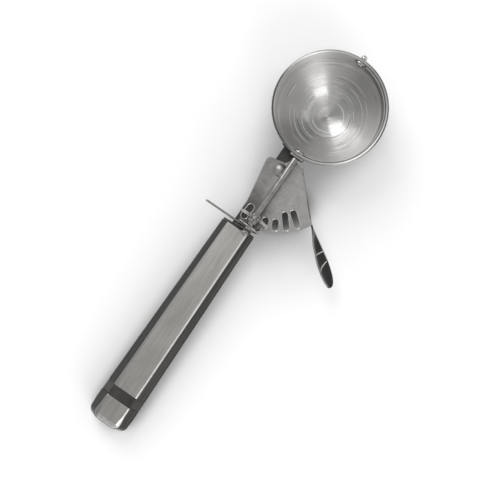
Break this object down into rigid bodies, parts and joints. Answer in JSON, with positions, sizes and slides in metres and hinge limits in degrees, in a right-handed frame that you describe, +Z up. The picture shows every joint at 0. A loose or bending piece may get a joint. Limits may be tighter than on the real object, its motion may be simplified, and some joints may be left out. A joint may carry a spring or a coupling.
{
  "type": "lever ice cream scoop",
  "caption": "Ice cream scoop with a half-round bowl, a scraper blade turned by a thumb lever through a slotted sector and star wheel, and a six-sided handle.",
  "frame": {"origin": "middle of the tool's length and width, on the table that it lies on", "axes": "+X towards the bowl's tip, +Y towards the spring's free leg, +Z up, the way the bowl's mouth faces"},
  "size_m": [0.2258, 0.0806, 0.0347],
  "materials": {
    "polished_steel": "polished inside, with fine spun rings",
    "blade_steel": "thin rolled strip, semi-bright",
    "stamped_steel": "stamped sheet, satin",
    "plate_steel": "stamped plate, satin with fine marks",
    "brushed_handle": "satin, brushed along the handle",
    "dark_plastic": "dark moulded",
    "spring_wire": "drawn wire",
    "turned_steel": "turned, bright",
    "core_metal": "plain cast block, hidden"
  },
  "bodies": {
    "frame": {"bowl": "polished_steel", "stem": "stamped_steel", "bowl_saddle": "stamped_steel", "rear_bush": "turned_steel", "front_washer": "plate_steel", "pivot_washer": "plate_steel", "pivot_rivet": "turned_steel", "shaft_bracket": "stamped_steel", "bracket_rivets": "turned_steel", "return_spring": "spring_wire", "front_plate": "dark_plastic", "tang_block": "core_metal", "tang_pin": "turned_steel", "handle_shell": "brushed_handle", "handle_band": "dark_plastic", "handle_cap": "brushed_handle"},
    "lever": {"thumb_lever": "plate_steel"},
    "scraper": {"front_pivot_pin": "turned_steel", "scraper_blade": "blade_steel", "scraper_shaft": "turned_steel", "star_wheel": "plate_steel", "wheel_collar": "turned_steel", "shaft_clip": "spring_wire"}
  },
  "joints": [
    {"name": "lever_squeeze", "type": "hinge", "parent": "frame", "child": "lever", "pos_m": [0.04226, 0.01448, 0.01981], "axis": [0.0565, 0, -0.9984], "range_deg": [0, 41.5], "stiffness_Nm_per_rad": 0.3, "springref_deg": -20.05},
    {"name": "scraper_turn", "type": "hinge", "parent": "frame", "child": "scraper", "pos_m": [0.08081, 0.01108, 0.0288], "axis": [0.9984, 0, 0.0565], "range_deg": [0, 170]}
  ],
  "couplings": [
    {"joint": "scraper_turn", "follows": "lever_squeeze", "ratio": 4.0735}
  ]
}
